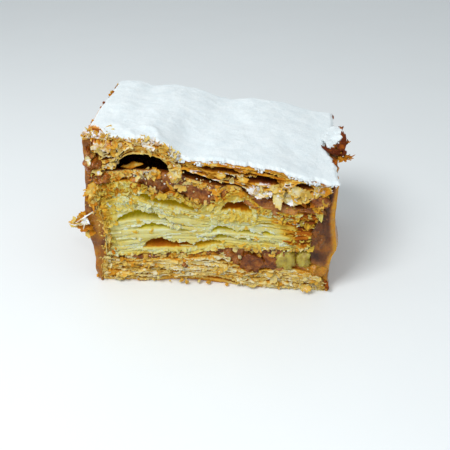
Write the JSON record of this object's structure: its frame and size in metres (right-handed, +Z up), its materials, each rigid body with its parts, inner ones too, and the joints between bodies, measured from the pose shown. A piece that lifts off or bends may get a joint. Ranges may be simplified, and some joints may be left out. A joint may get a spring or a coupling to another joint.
{
  "type": "mille feuille slice",
  "caption": "Slice of layered puff pastry with caramel between the sheets and on both ends, cut through front and back, under a thick dusting of icing sugar.",
  "frame": {"origin": "middle of the flat underside", "axes": "+X along the slice from the high left end to the low right end, +Y from the front cut to the back cut, +Z up"},
  "size_m": [0.1041, 0.0622, 0.0622],
  "materials": {
    "crisp_pastry": "golden brown flaky leaves, dry and crisp, paler at the torn edges",
    "pale_pastry": "pale cream yellow leaves with a soft translucent crumb, golden at the outside",
    "caramel": "sticky brown caramel, glossy in the lobes and duller where crumbs stick",
    "caramel_coat": "smeared brown caramel with crumbs pressed in, orange where it is thin",
    "icing_sugar": "fine white powder, matt",
    "glazed_piece": "yellow olive, moist and faintly see-through"
  },
  "bodies": {
    "root": {"bottom_pastry": "crisp_pastry", "lower_caramel": "caramel", "middle_pastry": "pale_pastry", "upper_caramel": "caramel", "top_pastry": "crisp_pastry", "icing_sugar": "icing_sugar", "left_caramel_coat": "caramel_coat", "right_caramel_coat": "caramel_coat", "pale_piece_1": "glazed_piece", "pale_piece_2": "glazed_piece"}
  },
  "joints": []
}
